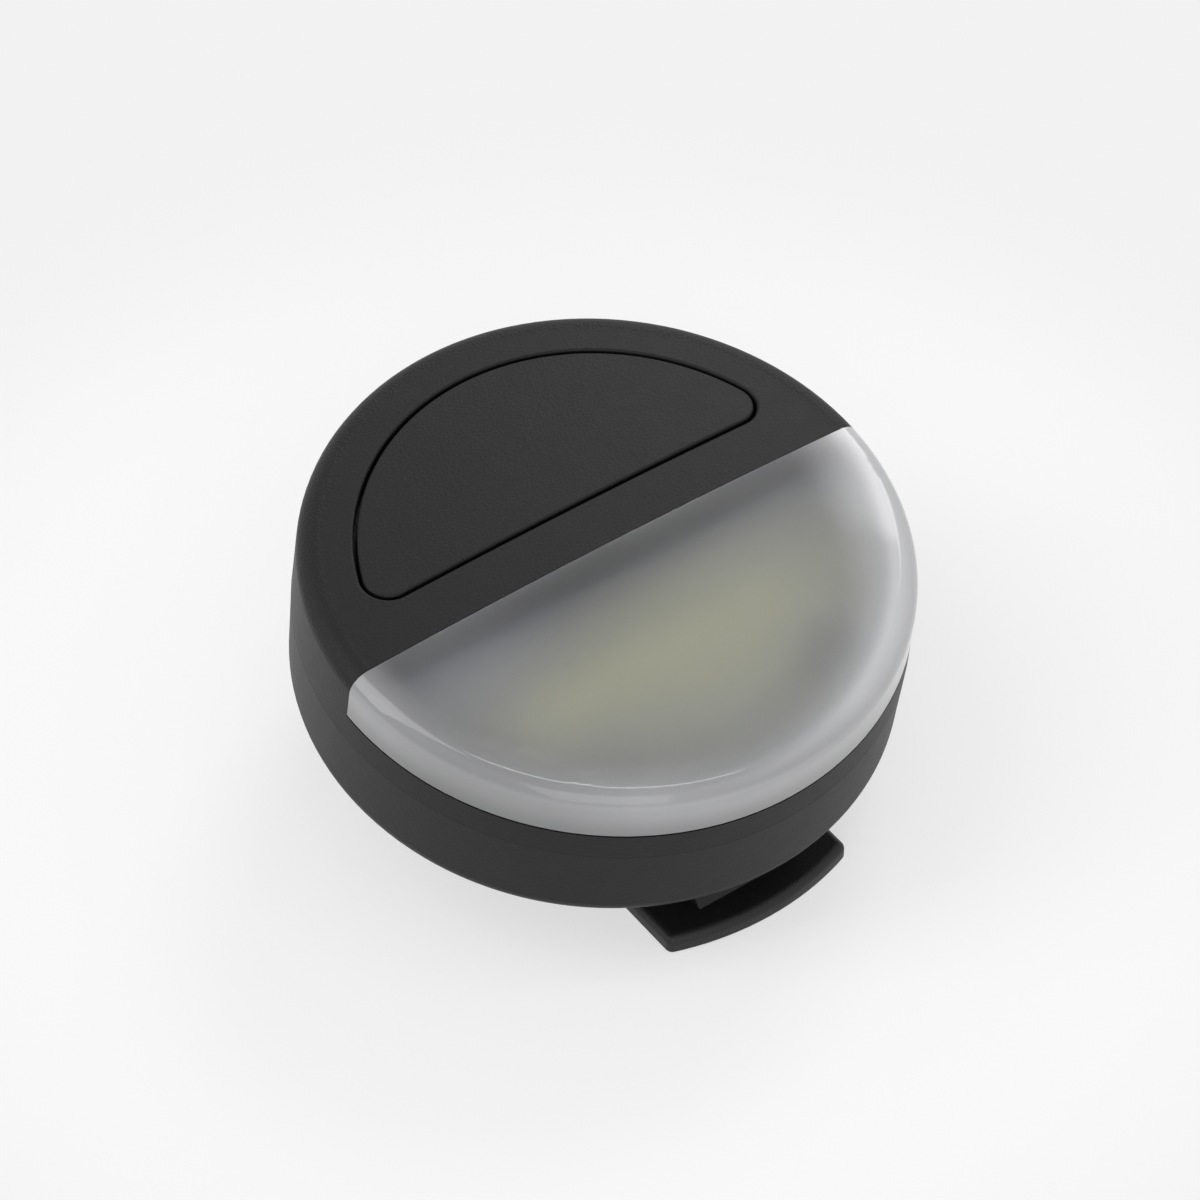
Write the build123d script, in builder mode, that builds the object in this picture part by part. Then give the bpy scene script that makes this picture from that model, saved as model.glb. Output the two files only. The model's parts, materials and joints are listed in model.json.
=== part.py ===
from build123d import *
import math
import os

# A round clip-on light. The clip's flat back lies on the XY plane, with its tip towards -Y.
# The puck sits above it and leans towards the tip, so its pieces are drawn on its own planes:
# heights in the puck run up its axis from its underside. Millimetres.

# Puck outline
PUCK_RADIUS = 22.0
PUCK_HEIGHT = 14.1
TOP_DRAFT = 0.19
BASE_DRAFT = 0.08
CROWN_SAG = 0.69
TOP_FILLET = 1.55
BASE_FILLET = 1.35
SEAM_HEIGHT = 7.1
SEAM_CHAMFER = 0.02
LEDGE_HEIGHT = 9.4

# Walls of the case
BASE_WALL = 1.5
FLOOR = 1.6
TOP_WALL = 1.4
CEILING = 2.0
LIP_WALL = 0.8
LIP_DEPTH = 1.0
LIP_ROOT = 1.0
LIP_CLEARANCE = 0.08
DIVIDER = 1.4

# Lens
LENS_TOP = 1.6
LENS_BACK = 1.05
LENS_SPIGOT = 0.6
LENS_SPIGOT_DEPTH = 1.1
LENS_SEAT_GAP = 0.16
LENS_FACE_GAP = 0.05
LENS_CLEARANCE = 0.1
LENS_INNER_FILLET = 1.2

# Half-moon button
BUTTON_RIM = 4.16
BUTTON_CHORD = 4.08
BUTTON_CORNER = 1.8
BUTTON_GAP = 0.25
BUTTON_EDGE = 0.18
BUTTON_FLANGE = 0.8
BUTTON_FLANGE_THICKNESS = 0.75
BUTTON_FLANGE_GAP = 0.05
BUTTON_STEM_RADIUS = 2.5
BUTTON_TRAVEL = 0.35
COLLAR_WALL = 0.8
MEMBRANE = 0.5
MEMBRANE_NUB_RADIUS = 1.5
MEMBRANE_NUB = 0.8

# Circuit board and what it carries
BOARD_HEIGHT = 5.3
BOARD = 1.0
BOARD_CLEARANCE = 0.4
SWITCH_Y = 10.9
SWITCH_WIDTH = 6.0
SWITCH_COVER = 0.3
SWITCH_CORNER = 0.4
PLUNGER_RADIUS = 1.7
PLUNGER_RISE = 0.5
PLUNGER_LENGTH = 1.3
PLUNGER_CLEARANCE = 0.08
LED_CLEARANCE = 1.7
LED_STRIP_LENGTH = 27.0
LED_STRIP_WIDTH = 5.4
LED_STRIP = 0.8
LED_BAND_LENGTH = 24.0
LED_BAND_WIDTH = 3.6
LED_BAND = 0.5
LED_BAND_EDGE = 0.2
CHIP_X = 6.6
CHIP_Y = 6.6
CHIP_WIDTH = 4.0
CHIP_CORNER = 0.3
CHIP = 0.9
PASSIVE_X = 12.0
PASSIVE_PITCH = 1.8
PASSIVE_COUNT = 3
PASSIVE_LENGTH = 1.6
PASSIVE_WIDTH = 0.8
PASSIVE = 0.7
REFLECTOR_HEIGHT = 2.4
REFLECTOR_FLOOR = 0.6
REFLECTOR_RIM = 0.7
REFLECTOR_FLARE = 40.0
REFLECTOR_CLEARANCE = 0.3

# Screws that close the case and clamp the board
SCREW_INSET = 5.0
SCREW_ANGLE = 52.0
SCREW_RADIUS = 0.95
SCREW_TIP_COVER = 1.0
SCREW_HEAD_RADIUS = 1.75
SCREW_HEAD = 1.2
SCREW_SINK = 1.3
SCREW_CLEARANCE = 0.2
SCREW_FIT = 0.02
SCREW_CROSS = 2.2
SCREW_SLOT_WIDTH = 0.5
SCREW_SLOT_DEPTH = 0.5
COLUMN_RADIUS = 2.3
BOSS_CLEARANCE = 0.9
RIB = 1.6

# Battery
CELL_LENGTH = 30.0
CELL_WIDTH = 17.0
CELL_THICKNESS = 2.9
CELL_CORNER = 1.5
CELL_EDGE = 0.6
PAD_LENGTH = 24.0
PAD_WIDTH = 13.0
PAD = 0.5
LEAD_RADIUS = 0.4
LEAD_SPACING = 4.0
LEAD_REACH = 2.0
LEAD_BEND = 1.0
LEAD_HEIGHT = 4.0

# Charging socket in the back of the lower case, and its cover
SHELL_WIDTH = 8.94
SHELL_HEIGHT = 3.26
SHELL_LENGTH = 7.35
SHELL_WALL = 0.3
SHELL_CORNER = 1.3
SHELL_BACK = 0.8
SHELL_SETBACK = 0.3
SHELL_CLEARANCE = 0.15
TONGUE_WIDTH = 6.69
TONGUE = 0.7
TONGUE_SETBACK = 1.4
PORT_FACE_INSET = 2.1
PORT_BLOCK_DEPTH = 1.6
PORT_BLOCK_WIDTH = 15.7
PORT_WEB = 0.5
FLAP_WIDTH = 12.7
FLAP_HEIGHT = 4.1
FLAP_CORNER = 1.5
FLAP_CLEARANCE = 0.15
FLAP_EDGE = 0.2
PLUG_WIDTH = 7.6
PLUG_HEIGHT = 2.1
PLUG_DEPTH = 1.2
PLUG_CORNER = 0.9
PEG_RADIUS = 0.5
PEG_INSET = 0.55
PEG_FIT = 0.02
PEG_HEAD_RADIUS = 1.0
PEG_HEAD = 0.5

# Gasket in the seam
GASKET_WIDTH = 0.48
GASKET_DEPTH = 0.8
GASKET_CLEARANCE = 0.02

# Clip: one springy moulding, bonded to the case at its foot
CLIP_TILT = 8.1
CLIP_WIDTH = 15.7
CLIP_THICKNESS = 1.5
CLIP_TIP_GAP = 3.44
CLIP_TIP_OVERHANG = 0.2
CLIP_TIP_CENTRE = 0.9
CLIP_LEG = 2.4
CLIP_LEG_INSET = 4.4
CLIP_BEND = 3.0
CLIP_TOP_FILLET = 0.65
CLIP_BACK_FILLET = 0.25
FOOT_POCKET = 0.4
FOOT_CLEARANCE = 0.1
TOOTH_WIDTH = 8.8
TOOTH_SETBACK = 2.5
TOOTH_RAMP = 2.6
TOOTH_HEIGHT = 2.5
TOOTH_BACK = 0.8
TOOTH_FILLET = 0.35

# Worked out from the sizes above
TOP_RADIUS = PUCK_RADIUS - TOP_DRAFT
BASE_RADIUS = PUCK_RADIUS - BASE_DRAFT
LENS_SEAT = LEDGE_HEIGHT + LENS_SEAT_GAP
SPIGOT_BOTTOM = LENS_SEAT - LENS_SPIGOT_DEPTH
LENS_CEILING = PUCK_HEIGHT - LENS_TOP
CAVITY_RADIUS = BASE_RADIUS - BASE_WALL
BORE_RADIUS = PUCK_RADIUS - TOP_WALL
SPIGOT_RADIUS = BORE_RADIUS - LENS_CLEARANCE
LIP_RADIUS = CAVITY_RADIUS - LIP_CLEARANCE
LIP_BORE = LIP_RADIUS - LIP_WALL
LIP_BOTTOM = SEAM_HEIGHT - LIP_DEPTH
CEILING_HEIGHT = PUCK_HEIGHT - CEILING
BOARD_TOP = BOARD_HEIGHT + BOARD
BOARD_RADIUS = LIP_BORE - BOARD_CLEARANCE
FLANGE_TOP = CEILING_HEIGHT - BUTTON_FLANGE_GAP
FLANGE_BOTTOM = FLANGE_TOP - BUTTON_FLANGE_THICKNESS
MEMBRANE_TOP = FLANGE_BOTTOM - 2 * BUTTON_TRAVEL
MEMBRANE_BOTTOM = MEMBRANE_TOP - MEMBRANE
PLUNGER_TOP = MEMBRANE_BOTTOM - MEMBRANE_NUB
SWITCH_BASE = PLUNGER_TOP - PLUNGER_RISE - SWITCH_COVER - BOARD_TOP
BUTTON_RADIUS = TOP_RADIUS - BUTTON_RIM
FLANGE_POCKET_MARGIN = BUTTON_FLANGE + BUTTON_GAP
COLLAR_MARGIN = FLANGE_POCKET_MARGIN + COLLAR_WALL
PORT_FACE = PUCK_RADIUS - PORT_FACE_INSET
PORT_HEIGHT = BOARD_HEIGHT - SHELL_HEIGHT / 2
FLAP_END = FLAP_WIDTH / 2
PEG_X = FLAP_END - PEG_INSET
SCREW_CIRCLE = PUCK_RADIUS - SCREW_INSET
SCREW_ANGLES = (SCREW_ANGLE, 180 - SCREW_ANGLE, 180 + SCREW_ANGLE, 360 - SCREW_ANGLE)
BOSS_HEIGHT = MEMBRANE_BOTTOM - BOSS_CLEARANCE - BOARD_TOP
SCREW_LENGTH = BOARD_TOP + BOSS_HEIGHT - SCREW_TIP_COVER - SCREW_SINK
BOSS_FRONT = SCREW_CIRCLE * math.sin(math.radians(SCREW_ANGLE)) - COLUMN_RADIUS
LED_Y = LED_CLEARANCE + LED_STRIP_WIDTH / 2 - BOSS_FRONT
CLIP_TIP = PUCK_RADIUS + CLIP_TIP_OVERHANG - CLIP_TIP_CENTRE
TILT_SLOPE = math.tan(math.radians(CLIP_TILT))
PUCK_LIFT = CLIP_THICKNESS + CLIP_TIP_GAP + CLIP_TIP * TILT_SLOPE
FOOT_OUTER = BASE_RADIUS - CLIP_LEG_INSET
FOOT_INNER = FOOT_OUTER - CLIP_LEG
TOOTH_FRONT_Y = TOOTH_SETBACK - CLIP_TIP
TOOTH_TOP_Y = TOOTH_FRONT_Y + TOOTH_RAMP

# The puck's own planes: HEAD lies on its underside and SECTION holds its axis
HEAD = Plane(
    origin=(0, 0, PUCK_LIFT),
    x_dir=(1, 0, 0),
    z_dir=(0, -math.sin(math.radians(CLIP_TILT)), math.cos(math.radians(CLIP_TILT))),
)
SECTION = Plane(origin=HEAD.origin, x_dir=HEAD.x_dir, z_dir=-HEAD.y_dir)
UNDERSIDE = Plane(origin=HEAD.origin, x_dir=HEAD.x_dir, z_dir=-HEAD.z_dir)
PORT = Plane(
    origin=HEAD.from_local_coords((0, PORT_FACE, PORT_HEIGHT)),
    x_dir=-HEAD.x_dir,
    z_dir=HEAD.y_dir,
)
PUCK_AXIS = Axis(HEAD.origin, HEAD.z_dir)
PORT_AXIS = Axis(PORT.origin, PORT.z_dir)

os.makedirs("parts", exist_ok=True)


def level(height):
    """The plane across the puck at a height above its underside."""
    return HEAD.offset(height)


def screw_places(radius=SCREW_CIRCLE, angles=SCREW_ANGLES):
    """The places of the case screws, each turned to face outwards."""
    return [
        Location((radius * math.cos(math.radians(a)), radius * math.sin(math.radians(a)), 0), (0, 0, a))
        for a in angles
    ]


def half_moon(radius, chord, corner):
    """A circle cut off below a chord, with rounded corners."""
    Circle(radius)
    with Locations((0, chord - radius)):
        Rectangle(2 * radius, 2 * radius, mode=Mode.SUBTRACT)
    fillet(vertices(), corner)


def button_outline(margin):
    """The button's outline, grown all round by a margin."""
    half_moon(BUTTON_RADIUS + margin, BUTTON_CHORD - margin, BUTTON_CORNER + margin)


def front_half(radius, face):
    """The half of a circle in front of a face that is parallel to the dividing line."""
    Circle(radius)
    with Locations((0, radius - face)):
        Rectangle(2 * radius, 2 * radius, mode=Mode.SUBTRACT)


# The puck's whole outside, from which each outer piece takes its surface
with BuildPart() as envelope:
    with BuildSketch(SECTION):
        with BuildLine():
            base = Line((0, 0), (BASE_RADIUS, 0))
            low_wall = Line(base @ 1, (PUCK_RADIUS, SEAM_HEIGHT))
            high_wall = Line(low_wall @ 1, (TOP_RADIUS, PUCK_HEIGHT - CROWN_SAG))
            crown = TangentArc((0, PUCK_HEIGHT), high_wall @ 1, tangent=(1, 0))
            Line(crown @ 0, base @ 0)
        make_face()
        fillet(vertices().group_by(Axis.Y)[0].sort_by(Axis.X)[-1], BASE_FILLET)
        fillet(vertices().sort_by_distance((TOP_RADIUS, PUCK_HEIGHT - CROWN_SAG))[0], TOP_FILLET)
    revolve(axis=PUCK_AXIS)

# Lower case: a bowl with four screw columns, the socket's block and the foot's pocket
with BuildPart() as bottom_housing:
    with BuildSketch(level(0)):
        Circle(PUCK_RADIUS)
    extrude(amount=SEAM_HEIGHT)
    with BuildSketch(level(FLOOR)):
        Circle(CAVITY_RADIUS)
    extrude(amount=SEAM_HEIGHT - FLOOR, mode=Mode.SUBTRACT)
    with BuildSketch(level(SEAM_HEIGHT - GASKET_DEPTH)):
        Circle(CAVITY_RADIUS + GASKET_WIDTH)
    extrude(amount=GASKET_DEPTH, mode=Mode.SUBTRACT)
    with BuildSketch(level(FLOOR)):
        with Locations(screw_places()):
            Circle(COLUMN_RADIUS)
        with Locations(screw_places((SCREW_CIRCLE + CAVITY_RADIUS) / 2)):
            Rectangle(CAVITY_RADIUS - SCREW_CIRCLE + BASE_WALL, RIB)
        with Locations((0, PORT_FACE - PORT_BLOCK_DEPTH)):
            Rectangle(PORT_BLOCK_WIDTH, PUCK_RADIUS, align=(Align.CENTER, Align.MIN))
    extrude(amount=BOARD_HEIGHT - FLOOR)
    with BuildSketch(level(FLOOR)):
        with Locations((0, PORT_FACE - PORT_WEB)):
            Rectangle(PORT_BLOCK_WIDTH, PUCK_RADIUS, align=(Align.CENTER, Align.MIN))
    extrude(amount=LIP_BOTTOM - LIP_CLEARANCE - FLOOR)
    add(envelope.part, mode=Mode.INTERSECT)
    seam_edge = edges().group_by(PUCK_AXIS)[-1].filter_by(GeomType.CIRCLE).sort_by(SortBy.RADIUS)[-1]
    chamfer(seam_edge, SEAM_CHAMFER)
    with BuildSketch(PORT):
        RectangleRounded(
            FLAP_WIDTH + 2 * FLAP_CLEARANCE, FLAP_HEIGHT + 2 * FLAP_CLEARANCE, FLAP_CORNER + FLAP_CLEARANCE
        )
    extrude(amount=PUCK_RADIUS, mode=Mode.SUBTRACT)
    with BuildSketch(PORT):
        RectangleRounded(
            SHELL_WIDTH + 2 * SHELL_CLEARANCE,
            SHELL_HEIGHT + 2 * SHELL_CLEARANCE,
            SHELL_CORNER + SHELL_CLEARANCE,
        )
        with Locations((-PEG_X, 0)):
            Circle(PEG_RADIUS + PEG_FIT)
    extrude(amount=-PORT_BLOCK_DEPTH, mode=Mode.SUBTRACT)
    with Locations(UNDERSIDE):
        with Locations(screw_places()):
            CounterBoreHole(
                SCREW_RADIUS + SCREW_CLEARANCE,
                SCREW_HEAD_RADIUS + SCREW_CLEARANCE,
                SCREW_SINK,
                BOARD_HEIGHT,
            )
    with BuildSketch(level(0)):
        with Locations((0, (FOOT_OUTER + FOOT_INNER) / 2)):
            Rectangle(CLIP_WIDTH + 2 * FOOT_CLEARANCE, CLIP_LEG + 2 * FOOT_CLEARANCE)
    extrude(amount=FOOT_POCKET, mode=Mode.SUBTRACT)
bottom_housing.part.label = "bottom_housing"
export_step(bottom_housing.part, "parts/bottom_housing.step")

# Upper case: a ring all round, with a roofed half behind the dividing line
with BuildPart() as top_housing:
    with BuildSketch(level(SEAM_HEIGHT)):
        Circle(PUCK_RADIUS)
    extrude(amount=PUCK_HEIGHT)
    add(envelope.part, mode=Mode.INTERSECT)
    seam_edge = edges().group_by(PUCK_AXIS)[0].filter_by(GeomType.CIRCLE).sort_by(SortBy.RADIUS)[-1]
    chamfer(seam_edge, SEAM_CHAMFER)
    with BuildSketch(level(LEDGE_HEIGHT)):
        front_half(PUCK_RADIUS + BASE_WALL, 0)
    extrude(amount=PUCK_HEIGHT, mode=Mode.SUBTRACT)
    with BuildSketch(level(SEAM_HEIGHT)):
        front_half(BORE_RADIUS, 0)
    extrude(amount=PUCK_HEIGHT, mode=Mode.SUBTRACT)
    with BuildSketch(level(SEAM_HEIGHT)):
        Circle(BORE_RADIUS)
        with Locations((0, DIVIDER - BORE_RADIUS)):
            Rectangle(2 * BORE_RADIUS, 2 * BORE_RADIUS, mode=Mode.SUBTRACT)
    extrude(amount=CEILING_HEIGHT - SEAM_HEIGHT, mode=Mode.SUBTRACT)
    with BuildSketch(level(SEAM_HEIGHT)):
        Circle(BORE_RADIUS)
        Circle(LIP_BORE, mode=Mode.SUBTRACT)
    extrude(amount=LIP_ROOT)
    with BuildSketch(level(SEAM_HEIGHT)):
        Circle(LIP_RADIUS)
        Circle(LIP_BORE, mode=Mode.SUBTRACT)
    extrude(amount=-LIP_DEPTH)
    with BuildSketch(level(BOARD_TOP)):
        with Locations(screw_places()):
            Circle(COLUMN_RADIUS)
    extrude(amount=BOSS_HEIGHT)
    with BuildSketch(level(SEAM_HEIGHT)):
        with Locations(screw_places((SCREW_CIRCLE + LIP_BORE) / 2)):
            Rectangle(LIP_BORE - SCREW_CIRCLE + LIP_WALL, RIB)
    extrude(amount=LIP_ROOT)
    with BuildSketch(level(MEMBRANE_TOP)):
        button_outline(COLLAR_MARGIN)
    extrude(amount=CEILING_HEIGHT - MEMBRANE_TOP)
    with BuildSketch(level(MEMBRANE_TOP)):
        button_outline(FLANGE_POCKET_MARGIN)
    extrude(amount=CEILING_HEIGHT - MEMBRANE_TOP, mode=Mode.SUBTRACT)
    with BuildSketch(level(CEILING_HEIGHT)):
        button_outline(BUTTON_GAP)
    extrude(amount=PUCK_HEIGHT, mode=Mode.SUBTRACT)
    fillet(faces().sort_by(PUCK_AXIS)[-1].inner_wires()[0].edges(), BUTTON_EDGE)
    with BuildSketch(level(BOARD_TOP)):
        with Locations(screw_places()):
            Circle(SCREW_RADIUS + SCREW_FIT)
    extrude(amount=SCREW_SINK + SCREW_LENGTH - BOARD_TOP + SCREW_CLEARANCE, mode=Mode.SUBTRACT)
top_housing.part.label = "top_housing"
export_step(top_housing.part, "parts/top_housing.step")

# The room under the lens, rounded where its walls meet its ceiling
with BuildPart() as lens_cavity:
    with BuildSketch(level(SPIGOT_BOTTOM)):
        front_half(SPIGOT_RADIUS - LENS_SPIGOT, LENS_FACE_GAP + LENS_BACK)
    extrude(amount=LENS_CEILING - SPIGOT_BOTTOM)
    fillet(faces().sort_by(PUCK_AXIS)[-1].edges(), LENS_INNER_FILLET)

# Half-moon lens: a cup open below, with a spigot along its arc that drops inside the ring
with BuildPart() as lens:
    with BuildSketch(level(LENS_SEAT)):
        front_half(PUCK_RADIUS, LENS_FACE_GAP)
    extrude(amount=PUCK_HEIGHT)
    add(envelope.part, mode=Mode.INTERSECT)
    with BuildSketch(level(LENS_SEAT)):
        front_half(SPIGOT_RADIUS, LENS_FACE_GAP + LENS_BACK)
    extrude(amount=SPIGOT_BOTTOM - LENS_SEAT)
    add(lens_cavity.part, mode=Mode.SUBTRACT)
lens.part.label = "lens"
export_step(lens.part, "parts/lens.step")

# Half-moon button: a cap in the opening, a flange under the roof and a stem
with BuildPart() as button:
    with BuildSketch(level(FLANGE_BOTTOM)):
        button_outline(0)
    extrude(amount=PUCK_HEIGHT)
    add(envelope.part, mode=Mode.INTERSECT)
    fillet(faces().sort_by(PUCK_AXIS)[-1].edges(), BUTTON_EDGE)
    with BuildSketch(level(FLANGE_BOTTOM)):
        button_outline(BUTTON_FLANGE)
    extrude(amount=BUTTON_FLANGE_THICKNESS)
    with BuildSketch(level(FLANGE_BOTTOM)):
        with Locations((0, SWITCH_Y)):
            Circle(BUTTON_STEM_RADIUS)
    extrude(amount=MEMBRANE_TOP - FLANGE_BOTTOM)
button.part.label = "button"
export_step(button.part, "parts/button.step")

# Silicone sheet that seals the button's well, with a nub over the switch
with BuildPart() as button_membrane:
    with BuildSketch(level(MEMBRANE_BOTTOM)):
        button_outline(COLLAR_MARGIN)
    extrude(amount=MEMBRANE)
    with BuildSketch(level(MEMBRANE_BOTTOM)):
        with Locations((0, SWITCH_Y)):
            Circle(MEMBRANE_NUB_RADIUS)
    extrude(amount=PLUNGER_TOP - MEMBRANE_BOTTOM)
button_membrane.part.label = "button_membrane"
export_step(button_membrane.part, "parts/button_membrane.step")

# Board, clamped between the columns and the bosses
with BuildPart() as circuit_board:
    with BuildSketch(level(BOARD_HEIGHT)):
        Circle(BOARD_RADIUS)
        with Locations(screw_places()):
            Circle(SCREW_RADIUS + SCREW_CLEARANCE, mode=Mode.SUBTRACT)
    extrude(amount=BOARD)
circuit_board.part.label = "circuit_board"
export_step(circuit_board.part, "parts/circuit_board.step")

# Tact switch
with BuildPart() as switch_base:
    with BuildSketch(level(BOARD_TOP)):
        with Locations((0, SWITCH_Y)):
            RectangleRounded(SWITCH_WIDTH, SWITCH_WIDTH, SWITCH_CORNER)
    extrude(amount=SWITCH_BASE)
    with BuildSketch(level(PLUNGER_TOP - PLUNGER_LENGTH - BUTTON_TRAVEL - PLUNGER_CLEARANCE)):
        with Locations((0, SWITCH_Y)):
            Circle(PLUNGER_RADIUS + PLUNGER_CLEARANCE)
    extrude(amount=PLUNGER_LENGTH, mode=Mode.SUBTRACT)
switch_base.part.label = "switch_base"
export_step(switch_base.part, "parts/switch_base.step")

with BuildPart() as switch_cover:
    with BuildSketch(level(BOARD_TOP + SWITCH_BASE)):
        with Locations((0, SWITCH_Y)):
            RectangleRounded(SWITCH_WIDTH, SWITCH_WIDTH, SWITCH_CORNER)
            Circle(PLUNGER_RADIUS + PLUNGER_CLEARANCE, mode=Mode.SUBTRACT)
    extrude(amount=SWITCH_COVER)
switch_cover.part.label = "switch_cover"
export_step(switch_cover.part, "parts/switch_cover.step")

with BuildPart() as switch_plunger:
    with BuildSketch(level(PLUNGER_TOP)):
        with Locations((0, SWITCH_Y)):
            Circle(PLUNGER_RADIUS)
    extrude(amount=-PLUNGER_LENGTH)
switch_plunger.part.label = "switch_plunger"
export_step(switch_plunger.part, "parts/switch_plunger.step")

# Components behind the dividing line, either side of the switch
with BuildPart() as board_chips:
    with BuildSketch(level(BOARD_TOP)):
        with Locations((-CHIP_X, CHIP_Y), (CHIP_X, CHIP_Y)):
            RectangleRounded(CHIP_WIDTH, CHIP_WIDTH, CHIP_CORNER)
    extrude(amount=CHIP)
board_chips.part.label = "board_chips"
export_step(board_chips.part, "parts/board_chips.step")

with BuildPart() as board_passives:
    with BuildSketch(level(BOARD_TOP)):
        for side in (-1, 1):
            with Locations((side * PASSIVE_X, CHIP_Y)):
                with GridLocations(PASSIVE_PITCH, PASSIVE_PITCH, 1, PASSIVE_COUNT):
                    Rectangle(PASSIVE_LENGTH, PASSIVE_WIDTH)
    extrude(amount=PASSIVE)
board_passives.part.label = "board_passives"
export_step(board_passives.part, "parts/board_passives.step")

# Light strip in front of the dividing line: a carrier and its band of phosphor
with BuildPart() as led_strip:
    with BuildSketch(level(BOARD_TOP)):
        with Locations((0, LED_Y)):
            Rectangle(LED_STRIP_LENGTH, LED_STRIP_WIDTH)
    extrude(amount=LED_STRIP)
led_strip.part.label = "led_strip"
export_step(led_strip.part, "parts/led_strip.step")

with BuildPart() as led_band:
    with BuildSketch(level(BOARD_TOP + LED_STRIP)):
        with Locations((0, LED_Y)):
            SlotOverall(LED_BAND_LENGTH, LED_BAND_WIDTH)
    extrude(amount=LED_BAND)
    fillet(faces().sort_by(PUCK_AXIS)[-1].edges(), LED_BAND_EDGE)
led_band.part.label = "led_band"
export_step(led_band.part, "parts/led_band.step")

# Reflector: a flared half-moon tray round the strip, notched for the front bosses
with BuildPart() as reflector:
    with BuildSketch(level(BOARD_TOP)):
        front_half(LIP_BORE - REFLECTOR_CLEARANCE, REFLECTOR_CLEARANCE)
    extrude(amount=REFLECTOR_HEIGHT)
    with BuildSketch(level(BOARD_TOP + REFLECTOR_HEIGHT)):
        front_half(LIP_BORE - REFLECTOR_CLEARANCE - REFLECTOR_RIM, REFLECTOR_CLEARANCE + REFLECTOR_RIM)
    extrude(amount=REFLECTOR_FLOOR - REFLECTOR_HEIGHT, taper=REFLECTOR_FLARE, mode=Mode.SUBTRACT)
    with BuildSketch(level(BOARD_TOP)):
        with Locations((0, LED_Y)):
            Rectangle(LED_STRIP_LENGTH + 2 * REFLECTOR_CLEARANCE, LED_STRIP_WIDTH + 2 * REFLECTOR_CLEARANCE)
    extrude(amount=REFLECTOR_HEIGHT, mode=Mode.SUBTRACT)
    with BuildSketch(level(BOARD_TOP)):
        with Locations(screw_places()):
            Circle(COLUMN_RADIUS + REFLECTOR_CLEARANCE)
        with Locations(screw_places((SCREW_CIRCLE + PUCK_RADIUS) / 2)):
            Rectangle(PUCK_RADIUS - SCREW_CIRCLE, RIB + 2 * REFLECTOR_CLEARANCE)
    extrude(amount=REFLECTOR_HEIGHT, mode=Mode.SUBTRACT)
reflector.part.label = "reflector"
export_step(reflector.part, "parts/reflector.step")

# Battery on its pad, with two leads up to the board
with BuildPart() as battery_pad:
    with BuildSketch(level(FLOOR)):
        Rectangle(PAD_LENGTH, PAD_WIDTH)
    extrude(amount=PAD)
battery_pad.part.label = "battery_pad"
export_step(battery_pad.part, "parts/battery_pad.step")

with BuildPart() as battery_cell:
    with BuildSketch(level(FLOOR + PAD)):
        RectangleRounded(CELL_LENGTH, CELL_WIDTH, CELL_CORNER)
    extrude(amount=CELL_THICKNESS)
    fillet(faces().filter_by(PUCK_AXIS).edges(), CELL_EDGE)
battery_cell.part.label = "battery_cell"
export_step(battery_cell.part, "parts/battery_cell.step")

with BuildPart() as battery_leads:
    for side in (-1, 1):
        lead_start = HEAD.from_local_coords((CELL_LENGTH / 2, side * LEAD_SPACING / 2, LEAD_HEIGHT))
        lead_corner = HEAD.from_local_coords(
            (CELL_LENGTH / 2 + LEAD_REACH, side * LEAD_SPACING / 2, LEAD_HEIGHT)
        )
        lead_end = HEAD.from_local_coords(
            (CELL_LENGTH / 2 + LEAD_REACH, side * LEAD_SPACING / 2, BOARD_HEIGHT)
        )
        with BuildLine():
            lead_path = FilletPolyline(lead_start, lead_corner, lead_end, radius=LEAD_BEND)
        with BuildSketch(Plane(origin=lead_start, z_dir=HEAD.x_dir)):
            Circle(LEAD_RADIUS)
        sweep(path=lead_path)
battery_leads.part.label = "battery_leads"
export_step(battery_leads.part, "parts/battery_leads.step")

# Charging socket under the board
with BuildPart() as usb_shell:
    with BuildSketch(PORT.offset(-SHELL_SETBACK)):
        RectangleRounded(SHELL_WIDTH, SHELL_HEIGHT, SHELL_CORNER)
    extrude(amount=-SHELL_LENGTH)
    with BuildSketch(PORT.offset(-SHELL_SETBACK)):
        RectangleRounded(
            SHELL_WIDTH - 2 * SHELL_WALL, SHELL_HEIGHT - 2 * SHELL_WALL, SHELL_CORNER - SHELL_WALL
        )
    extrude(amount=SHELL_BACK - SHELL_LENGTH, mode=Mode.SUBTRACT)
usb_shell.part.label = "usb_shell"
export_step(usb_shell.part, "parts/usb_shell.step")

with BuildPart() as usb_tongue:
    with BuildSketch(PORT.offset(SHELL_BACK - SHELL_SETBACK - SHELL_LENGTH)):
        Rectangle(TONGUE_WIDTH, TONGUE)
    extrude(amount=SHELL_LENGTH - SHELL_BACK - TONGUE_SETBACK)
usb_tongue.part.label = "usb_tongue"
export_step(usb_tongue.part, "parts/usb_tongue.step")

# Silicone cover of the socket, flush with the wall, and the peg that holds its hinged end
with BuildPart() as usb_flap:
    with BuildSketch(PORT):
        RectangleRounded(FLAP_WIDTH, FLAP_HEIGHT, FLAP_CORNER)
    extrude(amount=PUCK_RADIUS)
    add(envelope.part, mode=Mode.INTERSECT)
    fillet(faces().sort_by(PORT_AXIS)[-1].edges(), FLAP_EDGE)
    with BuildSketch(PORT):
        RectangleRounded(PLUG_WIDTH, PLUG_HEIGHT, PLUG_CORNER)
    extrude(amount=-PLUG_DEPTH)
usb_flap.part.label = "usb_flap"
export_step(usb_flap.part, "parts/usb_flap.step")

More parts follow.
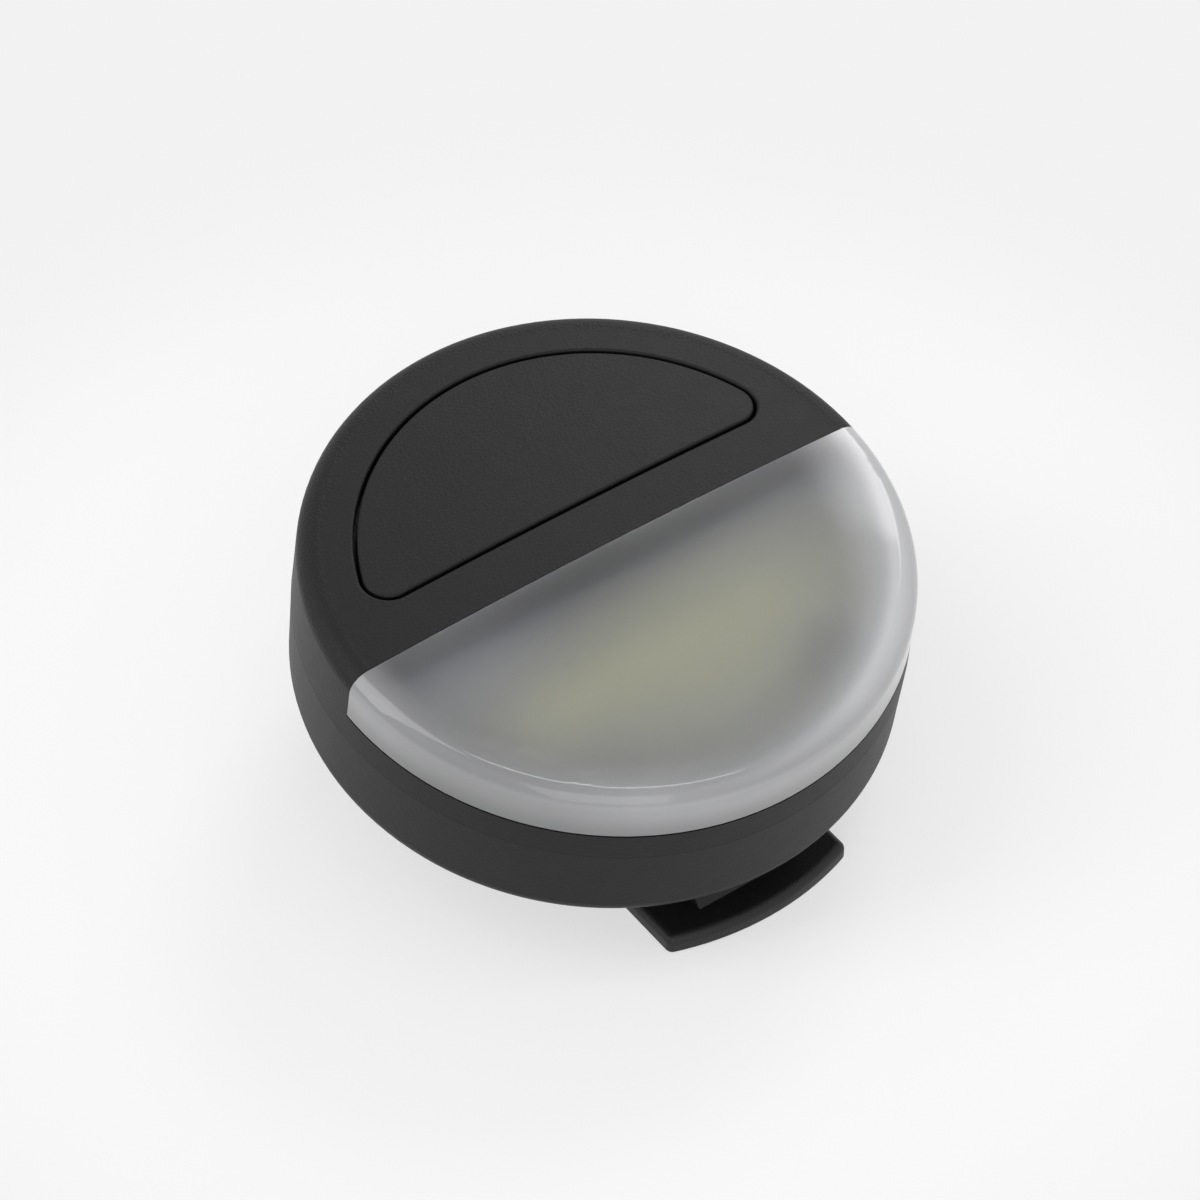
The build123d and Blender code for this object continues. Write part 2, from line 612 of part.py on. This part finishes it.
with BuildPart() as flap_tether:
    with BuildSketch(PORT):
        with Locations((-PEG_X, 0)):
            Circle(PEG_RADIUS)
    extrude(amount=-PORT_BLOCK_DEPTH)
    with BuildSketch(PORT.offset(-PORT_BLOCK_DEPTH)):
        with Locations((-PEG_X, 0)):
            Circle(PEG_HEAD_RADIUS)
    extrude(amount=-PEG_HEAD)
flap_tether.part.label = "flap_tether"
export_step(flap_tether.part, "parts/flap_tether.step")

# Ring seal between the two cases
with BuildPart() as case_gasket:
    with BuildSketch(level(SEAM_HEIGHT - GASKET_CLEARANCE)):
        Circle(CAVITY_RADIUS + GASKET_WIDTH - GASKET_CLEARANCE)
        Circle(LIP_RADIUS + GASKET_CLEARANCE, mode=Mode.SUBTRACT)
    extrude(amount=2 * GASKET_CLEARANCE - GASKET_DEPTH)
case_gasket.part.label = "case_gasket"
export_step(case_gasket.part, "parts/case_gasket.step")

# Four screws from below, with slotted pan heads
with BuildPart() as case_screws:
    with BuildSketch(level(SCREW_SINK)):
        with Locations(screw_places()):
            Circle(SCREW_HEAD_RADIUS)
    extrude(amount=-SCREW_HEAD)
    with BuildSketch(level(SCREW_SINK)):
        with Locations(screw_places()):
            Circle(SCREW_RADIUS)
    extrude(amount=SCREW_LENGTH)
    with BuildSketch(level(SCREW_SINK - SCREW_HEAD)):
        with Locations(screw_places()):
            Rectangle(SCREW_CROSS, SCREW_SLOT_WIDTH)
            Rectangle(SCREW_SLOT_WIDTH, SCREW_CROSS)
    extrude(amount=SCREW_SLOT_DEPTH, mode=Mode.SUBTRACT)
case_screws.part.label = "case_screws"
export_step(case_screws.part, "parts/case_screws.step")

# Clip: the leg stands in the case's pocket, bends and runs forward as a flat tongue
FOOT_BACK = HEAD.from_local_coords((0, FOOT_OUTER, FOOT_POCKET))
FOOT_FRONT = HEAD.from_local_coords((0, FOOT_INNER, FOOT_POCKET))
LEG_BACK_Y = FOOT_BACK.Y + FOOT_BACK.Z * TILT_SLOPE
LEG_FRONT_Y = FOOT_FRONT.Y + (FOOT_FRONT.Z - CLIP_THICKNESS) * TILT_SLOPE
with BuildPart() as clip:
    with BuildSketch(Plane.YZ):
        Polygon(
            (-CLIP_TIP, 0),
            (LEG_BACK_Y, 0),
            (FOOT_BACK.Y, FOOT_BACK.Z),
            (FOOT_FRONT.Y, FOOT_FRONT.Z),
            (LEG_FRONT_Y, CLIP_THICKNESS),
            (-CLIP_TIP, CLIP_THICKNESS),
            align=None,
        )
        fillet(vertices().sort_by_distance((LEG_BACK_Y, 0))[0], CLIP_BEND + CLIP_THICKNESS)
        fillet(vertices().sort_by_distance((LEG_FRONT_Y, CLIP_THICKNESS))[0], CLIP_BEND)
    extrude(amount=CLIP_WIDTH / 2, both=True)
    with BuildSketch(Plane.XY):
        with Locations((0, CLIP_TIP_CENTRE)):
            Circle(PUCK_RADIUS + CLIP_TIP_OVERHANG)
        with Locations((0, PUCK_RADIUS)):
            Rectangle(2 * PUCK_RADIUS, 2 * PUCK_RADIUS)
    extrude(amount=FOOT_BACK.Z, mode=Mode.INTERSECT)
    tongue_top = faces().filter_by(Axis.Z).group_by(Axis.Z)[1]
    fillet(tongue_top.edges().filter_by(Axis.X, reverse=True), CLIP_TOP_FILLET)
    tongue_back = faces().sort_by(Axis.Z)[0]
    fillet(tongue_back.edges().filter_by(Axis.X, reverse=True), CLIP_BACK_FILLET)
    with BuildSketch(Plane.YZ):
        Polygon(
            (TOOTH_FRONT_Y, CLIP_THICKNESS / 2),
            (TOOTH_FRONT_Y, CLIP_THICKNESS),
            (TOOTH_TOP_Y, CLIP_THICKNESS + TOOTH_HEIGHT),
            (TOOTH_TOP_Y + TOOTH_BACK, CLIP_THICKNESS),
            (TOOTH_TOP_Y + TOOTH_BACK, CLIP_THICKNESS / 2),
            align=None,
        )
    extrude(amount=TOOTH_WIDTH / 2, both=True)
    tooth_top = (0, TOOTH_TOP_Y, CLIP_THICKNESS + TOOTH_HEIGHT)
    fillet(edges().filter_by(Axis.X).sort_by_distance(tooth_top)[0], TOOTH_FILLET)
clip.part.label = "clip"
export_step(clip.part, "parts/clip.step")
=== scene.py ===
import json
import math

import bmesh
import bpy
from mathutils import Matrix, Vector


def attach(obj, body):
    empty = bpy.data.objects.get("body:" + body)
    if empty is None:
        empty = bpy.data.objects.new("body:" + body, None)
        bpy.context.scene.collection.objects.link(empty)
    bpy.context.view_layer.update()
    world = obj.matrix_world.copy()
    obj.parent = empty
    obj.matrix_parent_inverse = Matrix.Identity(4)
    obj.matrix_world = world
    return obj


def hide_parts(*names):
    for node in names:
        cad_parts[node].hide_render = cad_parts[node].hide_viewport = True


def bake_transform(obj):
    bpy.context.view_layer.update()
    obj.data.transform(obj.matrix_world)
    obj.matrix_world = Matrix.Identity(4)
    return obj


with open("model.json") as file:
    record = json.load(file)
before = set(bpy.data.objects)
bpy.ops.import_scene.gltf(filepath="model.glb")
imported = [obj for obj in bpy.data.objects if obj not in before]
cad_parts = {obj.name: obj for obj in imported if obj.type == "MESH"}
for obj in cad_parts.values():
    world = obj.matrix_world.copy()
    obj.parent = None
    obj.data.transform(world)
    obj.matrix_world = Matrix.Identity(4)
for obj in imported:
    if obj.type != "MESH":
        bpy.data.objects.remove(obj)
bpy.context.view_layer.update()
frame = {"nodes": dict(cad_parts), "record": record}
nodes = frame["nodes"]
scene = bpy.context.scene
scene.view_settings.view_transform = "Standard"

# Camera, fitted to the photograph
CAMERA_PLACE = (-0.145958, -0.200976, 0.267858)
CAMERA_RIGHT = (0.80932, -0.58737, 0.00207)
CAMERA_UP = (0.41832, 0.57887, 0.69994)
CAMERA_BACK = (-0.41232, -0.56561, 0.71420)
CAMERA_LENS = 150.0

# The puck's own frame, in metres and radians: it leans towards the clip's tip, and its axis passes over
# the origin. In it, x runs along the dividing line, y from the lens to the button and z up the axis
PUCK_TILT = 0.141372
PUCK_LIFT = 0.0079714

# Moulded surfaces: how far their colour and roughness vary, as a share and as an amount
COLOUR_SPREAD = 0.04
GLOSS_SPREAD = 0.01

# The rounded top edge of the case, where its grain is full: distance from the axis, height, and the
# grain's strength elsewhere
FILLET_REACH = (0.0196, 0.0206)
FILLET_HEIGHT = (0.0118, 0.0126)
FLAT_GRAIN = 0.28

# The lens: where one look of it passes into another, from and to, in the puck's frame. The spans by the
# dividing line, along x for the left end, up the wall and over the rounded edge place painted shade, and
# the spans of the extra milk to the right and at the left corner place painted light
DIVIDE_Y = (-0.0058, -0.0004)
LEFT_X = (-0.022, -0.008)
WALL_Z = (0.0090, 0.0124)
BEND_Z = (0.0124, 0.0129)
BEND_X = (-0.004, 0.012)
RIM_REACH = (0.0179, 0.0222)
PAINTED_LIGHT_SHIFT = (0.004, 0, 0)
PAINTED_LIGHT_REACH = (0.0182, 0.0258)
PAINTED_LIGHT_Y = (-0.0080, -0.0010)
CORNER_X = (-0.0190, -0.0030)
CORNER_Y = (-0.0105, -0.0030)
EDGE_REACH = (0.0196, 0.0203)
LENS_IOR = 1.45

# The reflector's painted glow beside the LED band: an oval, given by how a place is scaled and shifted,
# and where it fades in that measure
SPOT_SCALE = (0.39, 0.72, 0)
SPOT_SHIFT = (-0.0026, 0.0042, 0)
SPOT_REACH = (0.0012, 0.0090)

# The clip, in metres: half its width, the arc that ends its tongue, the rounding of that end's two
# corners, and the stretch of its leg that bends as it opens, from (y, z) in the pocket down to (y, z) on
# the tongue. Its mesh is cut where it bends, and points closer than a limit become one
CLIP_HALF_WIDTH = 0.00785
TIP_CENTRE_Y = 0.0009
TIP_RADIUS = 0.0222
CORNER_RADIUS = 0.0006
CORNER_CUTS = 8
BEND_START = (0.0160, 0.0104)
BEND_END = (0.0110, 0.0025)
BEND_CUTS = 10
CUT_ACCURACY = 1e-8
SAME_POINT = 1e-7
CLOSE_POINTS = 2e-6
CREASE = math.radians(25)

# Pale studio: the level of the paper as it is seen, its own colour and what lifts that to its level, how
# far out its light and shadow fade, the even light, and the level overhead that reflections of the room
# darken to as they rise, by the upward share of their direction
PAPER = 0.888
PAPER_COLOUR = 0.42
PAPER_LIFT = 0.59
FLOOR_HALF = 3.0
FADE = (0.038, 0.075)
AMBIENT = 0.42
OVERHEAD = 0.44
OVERHEAD_RISE = (0.66, 0.90)

# Softboxes: place, size and power
LAMPS = {
    "softbox_left": ((-2.2, 1.0, 2.3), (1.35, 4.0), 37.5),
    "softbox_right": ((2.4, 1.5, 2.6), (1.4, 1.4), 26.0),
    "softbox_front": ((-1.8, -3.0, 1.6), (2.6, 3.0), 30.0),
    "softbox_top": ((0.4, -0.2, 3.4), (0.3, 1.8), 9.0),
}


def make_camera():
    data = bpy.data.cameras.new("camera")
    data.sensor_width = 36.0
    data.lens = CAMERA_LENS
    data.clip_start = 0.01
    data.clip_end = 50.0
    camera = bpy.data.objects.new("camera", data)
    scene.collection.objects.link(camera)
    rows = [list(axis) for axis in zip(CAMERA_RIGHT, CAMERA_UP, CAMERA_BACK, CAMERA_PLACE)]
    camera.matrix_world = Matrix([*rows, [0, 0, 0, 1]])
    scene.camera = camera


def new_material(name):
    material = bpy.data.materials.new(name)
    material.use_nodes = True
    tree = material.node_tree
    return material, tree, tree.nodes["Principled BSDF"]


def object_place(tree):
    """A point's place in the object's own metres."""
    return tree.nodes.new("ShaderNodeTexCoord").outputs["Object"]


def noise(tree, scale, detail=2.0):
    """A noise texture in the object's own metres, so its scale is bumps to the metre."""
    texture = tree.nodes.new("ShaderNodeTexNoise")
    texture.inputs["Scale"].default_value = scale
    texture.inputs["Detail"].default_value = detail
    tree.links.new(object_place(tree), texture.inputs["Vector"])
    return texture.outputs["Fac"]


def ramp(tree, value, low, high, start=0.35, end=0.65):
    """Runs from one colour to another as the value goes from start to end."""
    node = tree.nodes.new("ShaderNodeValToRGB")
    node.color_ramp.elements[0].position = start
    node.color_ramp.elements[1].position = end
    node.color_ramp.elements[0].color = (*low, 1)
    node.color_ramp.elements[1].color = (*high, 1)
    tree.links.new(value, node.inputs["Fac"])
    return node.outputs["Color"]


def moulded(name, colour, roughness=0.55, specular=0.35, grain=5000.0, depth=3e-5, metallic=0.0,
            rim_grain=False):
    """A moulded surface: fine grain, with slight changes of colour and gloss over it."""
    material, tree, shader = new_material(name)
    shader.inputs["Metallic"].default_value = metallic
    shader.inputs["Specular IOR Level"].default_value = specular
    low = tuple(c * (1 - COLOUR_SPREAD) for c in colour)
    high = tuple(min(1, c * (1 + COLOUR_SPREAD)) for c in colour)
    tree.links.new(ramp(tree, noise(tree, 500.0, 3.0), low, high), shader.inputs["Base Color"])
    smoother, rougher = roughness - GLOSS_SPREAD, roughness + GLOSS_SPREAD
    gloss = ramp(tree, noise(tree, 700.0), (smoother,) * 3, (rougher,) * 3)
    tree.links.new(gloss, shader.inputs["Roughness"])
    bump = tree.nodes.new("ShaderNodeBump")
    bump.inputs["Distance"].default_value = depth
    tree.links.new(noise(tree, grain, 2.0), bump.inputs["Height"])
    if rim_grain:
        tree.links.new(fillet_grain(tree), bump.inputs["Strength"])
    tree.links.new(bump.outputs["Normal"], shader.inputs["Normal"])
    return material


def puck_place(tree):
    """A point's place in the puck's own frame, in metres: y across the dividing line, z up the axis."""
    turn = tree.nodes.new("ShaderNodeMapping")
    turn.vector_type = "TEXTURE"
    turn.inputs["Location"].default_value = (0, 0, PUCK_LIFT)
    turn.inputs["Rotation"].default_value = (PUCK_TILT, 0, 0)
    tree.links.new(object_place(tree), turn.inputs["Vector"])
    return turn.outputs["Vector"]


def axes_of(tree, place):
    """A place's three measures, by the names X, Y and Z."""
    split = tree.nodes.new("ShaderNodeSeparateXYZ")
    tree.links.new(place, split.inputs[0])
    return split.outputs


def spread_over(tree, value, span, low=0.0, high=1.0):
    """Runs smoothly from low to high as the value goes from the start of the span to its end."""
    node = tree.nodes.new("ShaderNodeMapRange")
    node.interpolation_type = "SMOOTHERSTEP"
    ends = (("From Min", span[0]), ("From Max", span[1]), ("To Min", low), ("To Max", high))
    for name, number in ends:
        node.inputs[name].default_value = number
    tree.links.new(value, node.inputs["Value"])
    return node.outputs["Result"]


def combine(tree, operation, first, second):
    """Two numbers put together, and kept between nought and one."""
    node = tree.nodes.new("ShaderNodeMath")
    node.operation = operation
    node.use_clamp = True
    tree.links.new(first, node.inputs[0])
    tree.links.new(second, node.inputs[1])
    return node.outputs["Value"]


def reach_of(tree, place):
    """How far a point lies from the puck's axis."""
    flat = tree.nodes.new("ShaderNodeVectorMath")
    flat.operation = "MULTIPLY"
    flat.inputs[1].default_value = (1, 1, 0)
    tree.links.new(place, flat.inputs[0])
    reach = tree.nodes.new("ShaderNodeVectorMath")
    reach.operation = "LENGTH"
    tree.links.new(flat.outputs["Vector"], reach.inputs[0])
    return reach.outputs["Value"]


def fillet_grain(tree):
    """The grain's strength: full on the rounded top edge of the case, and fainter elsewhere."""
    place = puck_place(tree)
    out = spread_over(tree, reach_of(tree, place), FILLET_REACH)
    up = spread_over(tree, axes_of(tree, place)["Z"], FILLET_HEIGHT)
    return spread_over(tree, combine(tree, "MULTIPLY", out, up), (0.0, 1.0), FLAT_GRAIN, 1.0)


def product(tree, first, second):
    """Two colours multiplied, or a colour and a share."""
    node = tree.nodes.new("ShaderNodeVectorMath")
    node.operation = "MULTIPLY"
    tree.links.new(first, node.inputs[0])
    tree.links.new(second, node.inputs[1])
    return node.outputs["Vector"]


def moved(tree, place, scale, shift):
    """A place scaled and then shifted, so that spots on it can be measured from another centre."""
    node = tree.nodes.new("ShaderNodeVectorMath")
    node.operation = "MULTIPLY_ADD"
    node.inputs[1].default_value = scale
    node.inputs[2].default_value = shift
    tree.links.new(place, node.inputs[0])
    return node.outputs["Vector"]


def blended(tree, share, first, second):
    """Two shaders mixed: the first where share is nought, and the second where it is one."""
    mix = tree.nodes.new("ShaderNodeMixShader")
    tree.links.new(share, mix.inputs["Fac"])
    tree.links.new(first.outputs[0], mix.inputs[1])
    tree.links.new(second.outputs[0], mix.inputs[2])
    return mix


def frosted(name):
    """
    Frosted plastic: clear enough on its flat top to show the soft glow painted inside, milky and glossier
    round its thick rim. Painted shade darkens it beside the dividing line, for the dark inside, and
    darkens its milk towards the left end, at the foot of its side wall and over the rounded edge above
    that wall.
    Extra milk is painted light towards the right end and at the left corner by the dividing line.
    """
    material, tree, clear = new_material(name)
    place = puck_place(tree)
    reach = reach_of(tree, place)
    axis = axes_of(tree, place)

    tint = ramp(tree, noise(tree, 90.0, 3.0), (0.86, 0.875, 0.88), (0.89, 0.905, 0.91))
    # Painted shade: the glassy parts darken, with a blue cast, towards the dividing line, for the dark
    # inside
    near = spread_over(tree, axis["Y"], DIVIDE_Y)
    painted_divide_shade = ramp(tree, near, (1.0, 1.0, 1.0), (0.55, 0.56, 0.66), 0.0, 1.0)
    frost = ramp(tree, noise(tree, 300.0), (0.68,) * 3, (0.74,) * 3)
    edge = tree.nodes.new("ShaderNodeBsdfPrincipled")
    for shader, coat, coat_roughness in ((clear, 0.6, 0.30), (edge, 1.0, 0.05)):
        shader.inputs["Transmission Weight"].default_value = 1.0
        shader.inputs["IOR"].default_value = LENS_IOR
        shader.inputs["Coat Weight"].default_value = coat
        shader.inputs["Coat Roughness"].default_value = coat_roughness
        tree.links.new(product(tree, tint, painted_divide_shade), shader.inputs["Base Color"])
        tree.links.new(frost, shader.inputs["Roughness"])

    milk = tree.nodes.new("ShaderNodeBsdfPrincipled")
    milk.inputs["Roughness"].default_value = 0.34
    milk.inputs["IOR"].default_value = LENS_IOR
    milk.inputs["Specular IOR Level"].default_value = 0.2
    milk.inputs["Coat Weight"].default_value = 1.0
    milk.inputs["Coat Roughness"].default_value = 0.05
    pale = ramp(tree, noise(tree, 120.0, 3.0), (0.62, 0.625, 0.64), (0.67, 0.675, 0.69))
    # Painted light and shade: the milk darkens towards the lens's left end and is full at its right, as
    # light falls
    lit = spread_over(tree, axis["X"], LEFT_X, 0.70, 1.0)
    # Painted shade: the milk darkens towards the foot of the side wall, and over the rounded edge above
    # that wall, less so towards the right end
    wall = spread_over(tree, axis["Z"], WALL_Z, 0.58, 1.0)
    painted_edge_shade = combine(
        tree, "MULTIPLY", spread_over(tree, axis["Z"], BEND_Z),
        spread_over(tree, axis["X"], BEND_X, 1.0, 0.1),
    )
    shade = product(tree, wall, ramp(tree, painted_edge_shade, (1.0,) * 3, (0.77,) * 3, 0.0, 1.0))
    tree.links.new(product(tree, product(tree, pale, lit), shade), milk.inputs["Base Color"])

    rim = spread_over(tree, reach, RIM_REACH, 0.03, 0.80)
    # Painted light: more milk towards the rim, measured from a centre left of the axis so it grows to the
    # right end, and less by the dividing line
    aside = reach_of(tree, moved(tree, place, (1, 1, 0), PAINTED_LIGHT_SHIFT))
    painted_right_light = combine(
        tree, "MULTIPLY", spread_over(tree, aside, PAINTED_LIGHT_REACH, 0.0, 0.75),
        spread_over(tree, axis["Y"], PAINTED_LIGHT_Y, 1.0, 0.6),
    )
    # Painted light: a little more milk at the lens's left end, most by the dividing line, lightens it
    # there
    corner = combine(
        tree, "MULTIPLY", spread_over(tree, axis["X"], CORNER_X, 0.16, 0.0),
        spread_over(tree, axis["Y"], CORNER_Y, 0.35, 1.0),
    )
    share = combine(tree, "ADD", combine(tree, "ADD", rim, painted_right_light), corner)
    glassy = blended(tree, spread_over(tree, reach, EDGE_REACH), clear, edge)
    whole = blended(tree, share, glassy, milk)
    tree.links.new(whole.outputs[0], tree.nodes["Material Output"].inputs["Surface"])
    return material


def painted_glow(name):
    """The reflector: a painted glow, pale and yellowish by the band, and painted shade, darker towards
    its rim.
    """
    material, tree, shader = new_material(name)
    spot = moved(tree, puck_place(tree), SPOT_SCALE, SPOT_SHIFT)
    far = spread_over(tree, reach_of(tree, spot), SPOT_REACH)
    # Painted glow, pale yellow by the band, and painted shade, darker towards the rim
    colour = ramp(tree, far, (0.39, 0.37, 0.158), (0.12, 0.12, 0.115), 0.0, 1.0)
    tree.links.new(colour, shader.inputs["Base Color"])
    shader.inputs["Specular IOR Level"].default_value = 0.35
    gloss = ramp(tree, noise(tree, 600.0), (0.48,) * 3, (0.54,) * 3)
    tree.links.new(gloss, shader.inputs["Roughness"])
    return material


def make_materials():
    return {
        "case": moulded("case", (0.0100, 0.0100, 0.0103), 0.48, 0.25, depth=6.5e-5, rim_grain=True),
        "button": moulded("button", (0.0100, 0.0100, 0.0103), 0.47, 0.245, depth=1.8e-5),
        "clip": moulded("clip", (0.0105, 0.0105, 0.0110), 0.46, 0.4, grain=6000.0),
        "lens": frosted("lens"),
        "silicone": moulded("silicone", (0.12, 0.12, 0.12), 0.7, 0.3),
        "flap": moulded("flap", (0.012, 0.012, 0.012), 0.68, 0.3, grain=7000.0),
        "board": moulded("board", (0.016, 0.085, 0.045), 0.38, 0.5, grain=1500.0),
        "switch": moulded("switch", (0.03, 0.03, 0.03), 0.5),
        "plunger": moulded("plunger", (0.55, 0.10, 0.04), 0.5),
        "steel": moulded("steel", (0.62, 0.62, 0.62), 0.3, 0.5, grain=4000.0, metallic=1.0),
        "screws": moulded("screws", (0.30, 0.30, 0.31), 0.36, 0.5, grain=4000.0, metallic=1.0),
        "chips": moulded("chips", (0.02, 0.02, 0.02), 0.5),
        "passives": moulded("passives", (0.45, 0.34, 0.24), 0.5),
        "led_carrier": moulded("led_carrier", (0.42, 0.40, 0.22), 0.5),
        "led_band": moulded("led_band", (0.51, 0.475, 0.175), 0.6),
        "reflector": painted_glow("reflector"),
        "cell": moulded("cell", (0.58, 0.60, 0.62), 0.38, 0.5, grain=1200.0, metallic=1.0),
        "foam": moulded("foam", (0.06, 0.06, 0.06), 0.9, 0.2, grain=3000.0, depth=4e-5),
        "leads": moulded("leads", (0.45, 0.03, 0.02), 0.45, 0.5),
        "tongue": moulded("tongue", (0.03, 0.03, 0.03), 0.45),
    }


def dress(materials):
    """Gives each carried-over node the finish that the record names for it."""
    for part in frame["record"]["subparts"]:
        piece = nodes[part["node"]]
        if not piece.material_slots:
            piece.data.materials.append(None)
        for place in piece.material_slots:
            place.material = materials[part["material_slot"]]


def background_rays(tree):
    """One for a surface that is seen straight, in a reflection or through glass, and nought elsewhere."""
    path = tree.nodes.new("ShaderNodeLightPath")
    seen = combine(tree, "MAXIMUM", path.outputs["Is Camera Ray"], path.outputs["Is Glossy Ray"])
    return combine(tree, "MAXIMUM", seen, path.outputs["Is Transmission Ray"])


def make_floor():
    """
    Pale paper that the light stands on. It takes the shadow, and its lift brings its level up to the
    paper's. Past the shadow the eye sees the plain paper. The clip lies on it, so it goes where the clip
    goes.
    """
    half = FLOOR_HALF
    mesh = bpy.data.meshes.new("floor")
    corners = [(-half, -half, 0), (half, -half, 0), (half, half, 0), (-half, half, 0)]
    mesh.from_pydata(corners, [], [(0, 1, 2, 3)])
    floor = bpy.data.objects.new("floor", mesh)
    scene.collection.objects.link(floor)
    material, tree, shader = new_material("paper")
    shader.inputs["Base Color"].default_value = (PAPER_COLOUR, PAPER_COLOUR, PAPER_COLOUR, 1)
    shader.inputs["Roughness"].default_value = 0.9
    shader.inputs["Specular IOR Level"].default_value = 0.0
    seen = background_rays(tree)
    glow = tree.nodes.new("ShaderNodeEmission")
    level = tree.nodes.new("ShaderNodeMath")
    level.operation = "MULTIPLY"
    level.inputs[1].default_value = PAPER_LIFT
    tree.links.new(seen, level.inputs[0])
    tree.links.new(level.outputs[0], glow.inputs["Strength"])
    both = tree.nodes.new("ShaderNodeAddShader")
    tree.links.new(shader.outputs[0], both.inputs[0])
    tree.links.new(glow.outputs[0], both.inputs[1])
    plain = tree.nodes.new("ShaderNodeEmission")
    plain.inputs["Strength"].default_value = PAPER
    out = reach_of(tree, object_place(tree))
    fade = combine(tree, "MULTIPLY", seen, spread_over(tree, out, FADE))
    whole = blended(tree, fade, both, plain)
    tree.links.new(whole.outputs[0], tree.nodes["Material Output"].inputs["Surface"])
    floor.data.materials.append(material)
    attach(floor, "clip")


def make_world():
    """Even light all round, which the camera and reflections see as pale paper that darkens overhead."""
    world = bpy.data.worlds.new("studio")
    scene.world = world
    world.use_nodes = True
    tree = world.node_tree
    light = tree.nodes["Background"]
    light.inputs["Color"].default_value = (1, 1, 1, 1)
    light.inputs["Strength"].default_value = AMBIENT
    seen = tree.nodes.new("ShaderNodeBackground")
    seen.inputs["Color"].default_value = (1, 1, 1, 1)
    rise = axes_of(tree, tree.nodes.new("ShaderNodeTexCoord").outputs["Generated"])["Z"]
    level = spread_over(tree, rise, OVERHEAD_RISE, PAPER, OVERHEAD)
    tree.links.new(level, seen.inputs["Strength"])
    whole = blended(tree, background_rays(tree), light, seen)
    tree.links.new(whole.outputs[0], tree.nodes["World Output"].inputs["Surface"])


def cut_faces(mould, faces, place, across):
    """Adds an edge where a plane crosses the faces, and moves nothing."""
    edges = dict.fromkeys(e for f in faces for e in f.edges)
    corners = dict.fromkeys(v for f in faces for v in f.verts)
    bmesh.ops.bisect_plane(
        mould, geom=[*corners, *edges, *faces], dist=CUT_ACCURACY, plane_co=place, plane_no=across,
    )


def round_corner(mould, side):
    """Draws the tongue's corner on one side in to an upright cylinder, with its rounded edges."""
    inner = TIP_RADIUS - CORNER_RADIUS
    x = side * (CLIP_HALF_WIDTH - CORNER_RADIUS)
    arm = Vector((x, -math.sqrt(inner ** 2 - x ** 2)))
    centre = Vector((x, TIP_CENTRE_Y + arm.y))
    first = 0.0 if side > 0 else -math.pi
    last = math.atan2(arm.y, arm.x)
    for k in range(CORNER_CUTS + 1):
        turn = first + (last - first) * k / CORNER_CUTS
        close = [
            f for f in mould.faces
            if any((v.co.xy - centre).length < 4 * CORNER_RADIUS for v in f.verts)
        ]
        cut_faces(mould, close, (*centre, 0), (math.sin(turn), -math.cos(turn), 0))
    low, high = min(first, last), max(first, last)
    for vertex in mould.verts:
        off = vertex.co.xy - centre
        if off.length < SAME_POINT or side * off.x <= 0:
            continue
        if not low < math.atan2(off.y, off.x) < high:
            continue
        way = off.normalized()
        along = arm.dot(way)
        to_arc = math.sqrt(along ** 2 + TIP_RADIUS ** 2 - inner ** 2) - along
        to_side = CORNER_RADIUS / (side * way.x)
        shrink = CORNER_RADIUS / min(to_arc, to_side)
        vertex.co.x = centre.x + off.x * shrink
        vertex.co.y = centre.y + off.y * shrink


def make_clip(material):
    """The clip as one springy moulding: its tip's corners rounded, and its leg cut across where it bends.
    """
    mould = bmesh.new()
    mould.from_mesh(nodes["clip"].data)
    bmesh.ops.remove_doubles(mould, verts=mould.verts, dist=SAME_POINT)
    for side in (-1, 1):
        round_corner(mould, side)
    for k in range(BEND_CUTS):
        level = BEND_END[1] + (BEND_START[1] - BEND_END[1]) * k / BEND_CUTS
        leg = [f for f in mould.faces if f.calc_center_median().y > 0]
        cut_faces(mould, leg, (0, 0, level), (0, 0, 1))
    bmesh.ops.remove_doubles(mould, verts=mould.verts, dist=CLOSE_POINTS)
    bmesh.ops.dissolve_degenerate(mould, dist=SAME_POINT, edges=mould.edges)
    mesh = bpy.data.meshes.new("clip_moulding")
    mould.to_mesh(mesh)
    mould.free()
    stale = mesh.attributes.get("custom_normal")
    if stale:
        mesh.attributes.remove(stale)
    mesh.materials.clear()
    mesh.materials.append(material)
    mesh.shade_smooth()
    mesh.set_sharp_from_angle(angle=CREASE)
    piece = bpy.data.objects.new("clip_moulding", mesh)
    scene.collection.objects.link(piece)
    piece.modifiers.new("even_shading", "WEIGHTED_NORMAL").keep_sharp = True
    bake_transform(piece)
    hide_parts("clip")


def area_lamp(name, place, size, power):
    """A softbox that faces the object."""
    data = bpy.data.lights.new(name, "AREA")
    data.shape = "RECTANGLE"
    data.size, data.size_y = size
    data.energy = power
    lamp = bpy.data.objects.new(name, data)
    scene.collection.objects.link(lamp)
    lamp.location = place
    facing = -lamp.location
    lamp.rotation_euler = facing.to_track_quat("-Z", "Y").to_euler()


make_camera()
make_floor()
make_world()
for name, (place, size, power) in LAMPS.items():
    area_lamp(name, place, size, power)
materials = make_materials()
dress(materials)
make_clip(materials["clip"])
